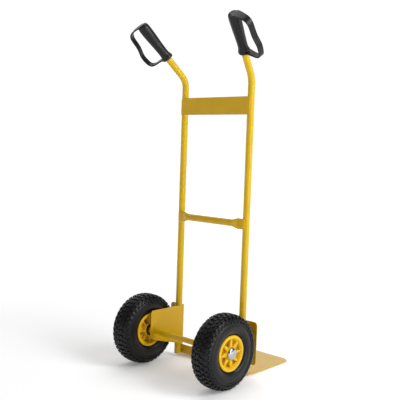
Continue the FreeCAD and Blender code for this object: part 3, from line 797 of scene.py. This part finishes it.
class HANDTRUCK_OT_grips(bpy.types.Operator):
    """Build both grips, each fused with its hand guard as one moulding"""
    bl_idname = "hand_truck.grips"
    bl_label = "Grips"

    POINTS = 64             # around the grip
    RIDGE = 0.035           # height of the ridge along the grip, as a share of its half thickness
    RIDGE_WIDTH = 0.22      # in radians
    POWER = 0.9             # of the section's cosine and sine; under 1 squares it off
    # distance along the grip, half thickness across the strap, half thickness towards the guard, in mm
    SECTIONS = ((0.0, 19.0, 19.6), (1.5, 20.0, 20.5), (7.0, 20.3, 20.8), (13.0, 18.7, 19.3),
                (22.0, 16.8, 17.2), (37.0, 16.6, 17.0), (52.0, 16.9, 17.5), (70.0, 17.5, 18.3),
                (90.0, 18.5, 19.5), (115.0, 19.4, 20.6), (134.0, 19.8, 20.6), (146.0, 19.2, 19.6),
                (153.0, 17.0, 16.8), (156.5, 12.0, 11.5))
    # centreline of the guard: distance along the grip and from its axis, in mm, and share of the full width
    GUARD = ((5.0, 6.0, 1.45), (7.5, 20.0, 1.30), (7.5, 34.0, 1.08), (6.4, 48.0, 0.98), (5.8, 62.0, 0.95),
             (8.2, 75.0, 0.95), (15.0, 83.5, 0.96), (25.0, 87.4, 0.98), (42.0, 89.4, 1.0),
             (58.0, 88.2, 1.0), (73.0, 83.0, 1.0), (88.0, 78.0, 1.0), (104.0, 75.4, 1.0),
             (121.0, 74.0, 1.0), (134.5, 71.0, 1.04), (145.0, 64.0, 1.10), (150.6, 53.0, 1.18),
             (153.0, 39.5, 1.30), (154.2, 25.0, 1.45), (154.4, 12.0, 1.56), (153.6, 3.0, 1.50))

    def execute(self, context):
        sizes = context.scene.hand_truck_frame
        grip = context.scene.hand_truck_grips
        along = handle_direction(sizes)
        outward = Vector((1.0, 0.0, 0.0))
        outward = (outward - along * outward.dot(along)).normalized()
        upward = along.cross(outward)
        guard = outward * math.cos(grip.guard_turn) + upward * math.sin(grip.guard_turn)
        across = along.cross(guard)
        start = rail_corner(sizes) + along * grip.start
        sections = smooth_path([Vector(s) for s in self.SECTIONS], 4)
        rings = []
        for distance, half_across, half_guard in sections:
            centre = start + along * (distance * MM)
            ring = []
            for step in range(self.POINTS):
                angle = 2.0 * math.pi * step / self.POINTS
                u = math.copysign(abs(math.cos(angle)) ** self.POWER, math.cos(angle)) * half_guard * MM
                v = math.copysign(abs(math.sin(angle)) ** self.POWER, math.sin(angle)) * half_across * MM
                ridge = 1.0 + self.RIDGE * math.exp(-((angle - 1.5 * math.pi) / self.RIDGE_WIDTH) ** 2)
                ring.append(centre + (guard * u + across * v) * ridge)
            rings.append(ring)
        play, end_gap = 0.0007, 0.001       # between the grip and the tube inside it
        bore = sizes.rail_radius + play
        bore_top = sizes.handle_length - grip.start + end_gap
        for distance in (0.0, bore_top):
            rings.insert(0, ring_around(start + along * distance, guard, across, bore, bore, self.POINTS))
        body = swept("grip_body", rings, finish("Grip plastic"))
        centreline = smooth_path([Vector(point) for point in self.GUARD], 6)
        straps = []
        half_wall, edge_radius = grip.strap_wall / 2.0, 0.0018
        for index, point in enumerate(centreline):
            ahead = centreline[min(index + 1, len(centreline) - 1)]
            behind = centreline[max(index - 1, 0)]
            tangent = (ahead - behind).normalized()
            normal = along * -tangent.y + guard * tangent.x
            centre = start + along * (point.x * MM) + guard * (point.y * MM)
            half_width = grip.strap_width * point.z / 2.0
            outline = rounded_profile([(x * half_wall, y * half_width, edge_radius)
                                       for x, y in ((-1.0, -1.0), (1.0, -1.0), (1.0, 1.0), (-1.0, 1.0))], 3)
            straps.append([centre + normal * p.x + across * p.y for p in outline])
        strap = swept("grip_guard", straps, finish("Grip plastic"))
        piece = joined("right_moulded_grip", [body, strap])
        remesh = piece.modifiers.new("Fuse", "REMESH")
        remesh.mode = "VOXEL"
        remesh.voxel_size = grip.voxel
        remesh.use_smooth_shade = True
        smooth = piece.modifiers.new("Fillets", "SMOOTH")
        smooth.factor = 0.5
        smooth.iterations = 5
        applied(piece)
        piece.data.materials.clear()
        piece.data.materials.append(finish("Grip plastic"))
        mirrored_pair(piece, "moulded_grip", "grip")
        return {"FINISHED"}


# ---- wheels ---------------------------------------------------------------------------------------
class HANDTRUCK_OT_tyres(bpy.types.Operator):
    """Build both tyres with their sidewall rings and blocky tread"""
    bl_idname = "hand_truck.tyres"
    bl_label = "Tyres"

    # half outline of the casing between the tread blocks: from the crown out and down to the bead, in mm
    CASING = ((0.0, 125.0), (10.0, 124.8), (20.0, 123.7), (27.0, 121.4), (32.5, 117.8), (36.4, 112.4),
              (38.6, 107.4), (39.2, 105.4), (40.4, 104.4), (41.6, 103.4), (42.0, 102.2), (41.6, 100.8),
              (39.8, 99.6), (39.3, 98.4), (39.9, 96.6), (41.2, 93.0), (42.2, 88.0), (42.5, 83.0),
              (41.8, 77.0), (39.8, 71.6), (37.2, 68.4), (34.4, 66.4), (32.6, 65.0), (31.6, 63.4),
              (30.8, 61.6), (30.7, 59.0), (30.7, 51.1))
    # inside of the tyre, from the bead in and up to the crown
    CAVITY = ((19.0, 51.1), (24.4, 62.6), (35.0, 76.0), (36.6, 90.0), (35.4, 101.0), (31.2, 114.6),
              (20.0, 119.4), (0.0, 120.4))
    # tread blocks of one pitch, as corners (distance from the crown's middle, share of the pitch)
    BLOCKS = (((-7.0, 0.10), (-2.5, -0.06), (2.5, 0.16), (7.0, 0.00), (7.0, 0.46), (2.5, 0.66),
               (-2.5, 0.44), (-7.0, 0.60)),
              ((10.0, 0.42), (15.0, 0.58), (21.0, 0.48), (21.0, 0.96), (15.0, 1.12), (10.0, 0.94)),
              ((24.2, -0.02), (29.0, -0.12), (34.4, 0.04), (34.4, 0.46), (29.0, 0.44), (24.2, 0.50)),
              ((36.0, 0.50), (40.5, 0.44), (45.0, 0.56), (45.0, 0.88), (40.5, 0.98), (36.0, 0.94)),
              ((39.0, 0.04), (44.0, -0.02), (49.0, 0.12), (49.0, 0.36), (44.0, 0.44), (39.0, 0.40)))

    def surface(self, distance):
        """Point and outward direction on the casing at a distance from the crown, in mm."""
        sign = -1.0 if distance < 0.0 else 1.0
        left = abs(distance)
        for (x0, r0), (x1, r1) in zip(self.CASING, self.CASING[1:]):
            length = math.hypot(x1 - x0, r1 - r0)
            if left <= length:
                break
            left -= length
        share = left / length
        normal = Vector((r0 - r1, x1 - x0)).normalized()
        point = Vector((sign * (x0 + (x1 - x0) * share), r0 + (r1 - r0) * share))
        return point, Vector((sign * normal.x, normal.y))

    def on_tyre(self, distance, share, pitch, height):
        """Place in metres of a point of the tread pattern, raised off the casing."""
        point, normal = self.surface(distance)
        point = point + normal * height
        angle = share * pitch
        return Vector((point.x, -point.y * math.sin(angle), point.y * math.cos(angle))) * MM

    def block(self, corners, pitch, depth):
        """One tread block: walls with a little draft and a top that follows the crown."""
        middle = Vector((sum(c[0] for c in corners), sum(c[1] for c in corners))) / len(corners)
        loops = []
        sunk, shoulder_start, shoulder_width, shoulder_loss = -0.5, 30.0, 20.0, 0.45
        # height of a level off the casing, and how much of the outline is left there
        for height, shrink in ((sunk, 1.0), (depth * 0.86, 0.93), (depth, 0.86)):
            loop = []
            for distance, share in corners:
                spot = middle + (Vector((distance, share)) - middle) * shrink
                shoulder = max(0.0, abs(spot.x) - shoulder_start) / shoulder_width
                lift = height if height < 0.0 else height * (1.0 - shoulder_loss * min(1.0, shoulder))
                loop.append(self.on_tyre(spot.x, spot.y, pitch, lift))
            loops.append(loop)
        return loops

    def execute(self, context):
        sizes = context.scene.hand_truck_wheels
        rubber = finish("Tyre rubber")
        right = [(x * MM, r * MM) for x, r in self.CASING]
        outer = [(-x, r) for x, r in reversed(right[1:])] + right
        inner = [(x * MM, r * MM) for x, r in self.CAVITY]
        inner = inner + [(-x, r) for x, r in reversed(inner[:-1])]
        casing = lathe("tyre_casing", outer + inner, 128, rubber)
        pitch = 2.0 * math.pi / sizes.tread_pitches
        depth = sizes.tread_depth / MM
        vertices = []
        faces = []
        outlines = [self.BLOCKS[0]]
        for corners in self.BLOCKS[1:]:
            outlines += [corners, [(-distance, share + 0.5) for distance, share in corners]]
        for corners in outlines:
            loops = self.block(corners, pitch, depth)
            base = len(vertices)
            count = len(corners)
            vertices += [v for loop in loops for v in loop]
            for level in range(len(loops) - 1):
                for side in range(count):
                    other = (side + 1) % count
                    here = base + level * count
                    faces.append((here + side, here + other, here + count + other, here + count + side))
            last = base + (len(loops) - 1) * count
            middle = sum((vertices[last + i] for i in range(count)), Vector()) / count
            vertices.append(middle)
            faces += [(last + i, last + (i + 1) % count, len(vertices) - 1) for i in range(count)]
            faces.append(tuple(reversed(range(base, base + count))))
        blocks = clean(mesh_object("tread_blocks", vertices, faces, rubber), 40.0)
        blocks = spun(blocks, sizes.tread_pitches, (0.0, 0.0, 0.0), rubber)
        piece = creased(joined("tyre", [casing, blocks]), 38.0)
        mirrored_pair(piece, "treaded_tyre", "tyre", on_wheel=True)
        return {"FINISHED"}


class HANDTRUCK_OT_rims(bpy.types.Operator):
    """Build the ribbed rims, an outer and an inner half for each wheel"""
    bl_idname = "hand_truck.rims"
    bl_label = "Rims"

    # section of a half's dish: distance from the wheel's middle plane, radius and corner radius, in mm
    DISH = ((0.0, 18.5, 0.0), (23.0, 18.5, 0.0), (23.0, 21.0, 0.0), (35.0, 21.0, 0.4), (35.0, 24.5, 1.6),
            (20.0, 25.2, 3.0), (20.0, 44.6, 3.0), (30.0, 46.4, 6.0), (36.2, 51.6, 1.0), (37.0, 53.0, 1.0),
            (37.0, 58.6, 2.6), (35.4, 62.0, 1.8), (32.0, 62.0, 1.0), (31.0, 60.0, 1.0), (31.0, 50.8, 1.5),
            (0.0, 50.8, 0.0), (0.0, 45.0, 0.0), (15.0, 45.0, 1.0), (15.0, 24.5, 1.0), (0.0, 24.5, 0.0))
    # a rib, in mm: from the hub's radius to the ring's, and its back and front from the middle plane
    RIB_FOOT, RIB_TOP, RIB_BACK, RIB_FRONT_AT_HUB, RIB_FRONT_AT_RING = 23.0, 49.0, 19.0, 33.6, 34.2
    # a rib's width at the hub and at the ring, in mm
    OUTER_RIB, INNER_RIB = (15.0, 3.4), (3.2, 3.2)

    def rib(self, root, tip):
        """One rib on the +Z side of the axle, as a softened wedge."""
        corners = []
        fronts = (self.RIB_FRONT_AT_HUB, self.RIB_FRONT_AT_RING)
        for x_root, x_tip in ((self.RIB_BACK, self.RIB_BACK), fronts):
            corners += [(x_root, -root / 2.0, self.RIB_FOOT), (x_root, root / 2.0, self.RIB_FOOT),
                        (x_tip, tip / 2.0, self.RIB_TOP), (x_tip, -tip / 2.0, self.RIB_TOP)]
        corners = [Vector(corner) * MM for corner in corners]
        faces = [(0, 1, 2, 3), (4, 7, 6, 5), (0, 4, 5, 1), (1, 5, 6, 2), (2, 6, 7, 3), (3, 7, 4, 0)]
        piece = clean(mesh_object("rib", corners, faces, finish("Yellow rim plastic")))
        return softened(piece, width=0.0009, segments=3)

    def half(self, name, widths, count):
        """Dish and ribs of the half on the +X side of the wheel's middle plane."""
        plastic = finish("Yellow rim plastic")
        outline = [(p.x * MM, p.y * MM) for p in rounded_profile(self.DISH)]
        dish = lathe(name + "_dish", outline, 112, plastic)
        ribs = spun(self.rib(*widths), count, (0.0, 0.0, 0.0), plastic)
        return creased(joined(name, [dish, ribs]), 38.0)

    def execute(self, context):
        count = context.scene.hand_truck_wheels.rib_count
        outer = self.half("outer_rim", self.OUTER_RIB, count)
        mirrored_pair(outer, "ribbed_rim_outer", "rim_outer_half", on_wheel=True)
        inner = placed(self.half("inner_rim", self.INNER_RIB, count), MIRROR)
        mirrored_pair(inner, "ribbed_rim_inner", "rim_inner_half", on_wheel=True)
        return {"FINISHED"}


class HANDTRUCK_OT_hub_caps(bpy.types.Operator):
    """Build the plated domes on the ends of the axle"""
    bl_idname = "hand_truck.hub_caps"
    bl_label = "Hub Caps"

    def execute(self, context):
        low, high = in_truck("right_hub_cap")
        radius = context.scene.hand_truck_wheels.cap_radius
        skirt, wall, steps, fullness = 0.0022, 0.0009, 16, 0.92
        outer = []
        for step in range(steps + 1):
            angle = math.pi / 2.0 * step / steps
            outer.append((low.x + skirt + (high.x - low.x - skirt) * math.sin(angle),
                          radius * math.cos(angle) ** fullness if step < steps else 0.0))
        inner = [(x - wall, max(0.0, r - wall)) for x, r in reversed(outer)]
        # the open edge, rolled from the inside wall round to the outside
        rim = [(low.x + 0.0002, radius - wall), (low.x, radius - wall / 2.0), (low.x + 0.0003, radius)]
        piece = lathe("right_domed_cap", outer + inner[1:-1] + rim, 96, finish("Bright plating"))
        mirrored_pair(piece, "domed_cap", "hub_cap")
        return {"FINISHED"}


# ---- stage ----------------------------------------------------------------------------------------
class HANDTRUCK_OT_stage(bpy.types.Operator):
    """Lay the floor, hang the lights and set up the camera"""
    bl_idname = "hand_truck.stage"
    bl_label = "Stage"

    # name, place, what it points at, width and height, watts
    LIGHTS = (("key", (3.4, 0.9, 3.0), (0.0, 0.0, 0.5), (1.6, 2.4), 104.0),
              ("tall strip", (4.2, -0.2, 1.35), (0.0, -0.2, 1.35), (0.45, 2.8), 58.0),
              ("overhead", (-0.4, 0.3, 4.4), (0.0, 0.0, 0.0), (3.0, 3.0), 45.0))
    # directions of the white backdrop behind the truck and of a dark flag ahead and to its right
    BACKDROP = (-0.688, 0.725, 0.0)
    FLAG = (0.52, 0.72, 0.46)
    WHITE = (1.05, 1.05, 1.05, 1.0)
    GREY = (0.24, 0.24, 0.245, 1.0)
    BLACK = (0.01, 0.01, 0.01, 1.0)

    def light(self, name, place, target, size, power):
        data = bpy.data.lights.new(name, "AREA")
        data.shape = "RECTANGLE"
        data.size, data.size_y = size
        data.energy = power
        lamp = bpy.data.objects.new(name, data)
        bpy.context.scene.collection.objects.link(lamp)
        lamp.location = place
        lamp.rotation_euler = (Vector(target) - Vector(place)).to_track_quat("-Z", "Y").to_euler()

    def towards(self, build, direction, aim, start, full):
        """0 to 1 as the cosine between the direction and the aim goes from start to full."""
        dot = build.node("ShaderNodeVectorMath", {"operation": "DOT_PRODUCT"})
        build.feed(dot.inputs[0], direction)
        dot.inputs[1].default_value = aim
        return spread(build, dot.outputs["Value"], 0.0, 1.0, start, full)

    def surroundings(self, world):
        """A white backdrop and horizon in a grey room with one dark flag."""
        world.use_nodes = True
        build = Tree(world.node_tree)
        direction = build.node("ShaderNodeTexCoord").outputs["Generated"]
        height = build.node("ShaderNodeSeparateXYZ", Vector=direction).outputs["Z"]
        share = build.node("ShaderNodeMath", {"operation": "MAXIMUM"})
        build.feed(share.inputs[0], self.towards(build, direction, self.BACKDROP, 0.15, 0.75))
        horizon, horizon_low, horizon_high = 0.90, 0.13, 0.20
        build.feed(share.inputs[1], spread(build, height, horizon, 0.0, horizon_low, horizon_high))
        room = blended(build, self.towards(build, direction, self.FLAG, 0.86, 0.93), self.GREY, self.BLACK)
        background = next(n for n in world.node_tree.nodes if n.type == "BACKGROUND")
        build.feed(background.inputs["Color"], blended(build, share.outputs[0], room, self.WHITE))
        background.inputs["Strength"].default_value = 1.0

    def execute(self, context):
        stage = context.scene.hand_truck_stage
        reach = 30.0
        corners = [(x * reach, y * reach, 0.0) for x, y in ((-1, -1), (1, -1), (1, 1), (-1, 1))]
        mesh_object("studio_floor", corners, [(0, 1, 2, 3)], floor_paper(stage.floor))
        context.scene.world = bpy.data.worlds.new("Studio")
        self.surroundings(context.scene.world)
        context.scene.view_settings.view_transform = "Standard"
        for light in self.LIGHTS:
            self.light(*light)
        azimuth, pitch, roll = stage.camera_turn
        forward = Vector((-math.sin(azimuth) * math.cos(pitch), math.cos(azimuth) * math.cos(pitch),
                          -math.sin(pitch)))
        level = Vector((math.cos(azimuth), math.sin(azimuth), 0.0))
        upright = level.cross(forward)
        right = level * math.cos(roll) + upright * math.sin(roll)
        up = upright * math.cos(roll) - level * math.sin(roll)
        data = bpy.data.cameras.new("camera")
        data.lens = stage.focal_length
        data.sensor_width = 36.0
        camera = bpy.data.objects.new("camera", data)
        context.scene.collection.objects.link(camera)
        turn = Matrix((right, up, -forward)).transposed().to_4x4()
        place = Vector(stage.camera_place) + Vector((0.0, AXLE.y, 0.0))
        camera.matrix_world = Matrix.Translation(place) @ turn
        context.scene.camera = camera
        return {"FINISHED"}


# ---- add-on ---------------------------------------------------------------------------------------
OPERATORS = (
    HANDTRUCK_OT_small_parts,
    HANDTRUCK_OT_sheet_metal,
    HANDTRUCK_OT_rails,
    HANDTRUCK_OT_cross_tube,
    HANDTRUCK_OT_welds,
    HANDTRUCK_OT_grips,
    HANDTRUCK_OT_tyres,
    HANDTRUCK_OT_rims,
    HANDTRUCK_OT_hub_caps,
    HANDTRUCK_OT_stage,
)
SETTINGS = {
    "hand_truck_finishes": HandTruckFinishes,
    "hand_truck_frame": HandTruckFrameSizes,
    "hand_truck_wheels": HandTruckWheelSizes,
    "hand_truck_grips": HandTruckGripSizes,
    "hand_truck_stage": HandTruckStage,
}


class HANDTRUCK_PT_panel(bpy.types.Panel):
    """Lists the pieces of the hand truck and their settings"""
    bl_idname = "HANDTRUCK_PT_panel"
    bl_label = "Hand Truck"
    bl_space_type = "VIEW_3D"
    bl_region_type = "UI"
    bl_category = "Hand Truck"

    def draw(self, context):
        for operator in OPERATORS:
            self.layout.operator(operator.bl_idname)
        for name, group in SETTINGS.items():
            box = self.layout.box()
            box.label(text=name.replace("hand_truck_", "").capitalize())
            for key in group.__annotations__:
                box.prop(getattr(context.scene, name), key)


def register():
    for group in SETTINGS.values():
        bpy.utils.register_class(group)
    for name, group in SETTINGS.items():
        setattr(bpy.types.Scene, name, bpy.props.PointerProperty(type=group))
    for operator in OPERATORS:
        bpy.utils.register_class(operator)
    bpy.utils.register_class(HANDTRUCK_PT_panel)


def unregister():
    bpy.utils.unregister_class(HANDTRUCK_PT_panel)
    for operator in reversed(OPERATORS):
        bpy.utils.unregister_class(operator)
    for name in SETTINGS:
        delattr(bpy.types.Scene, name)
    for group in reversed(list(SETTINGS.values())):
        bpy.utils.unregister_class(group)


def main():
    register()
    for operator in OPERATORS:
        group, name = operator.bl_idname.split(".")
        getattr(getattr(bpy.ops, group), name)()


if __name__ == "__main__":
    main()
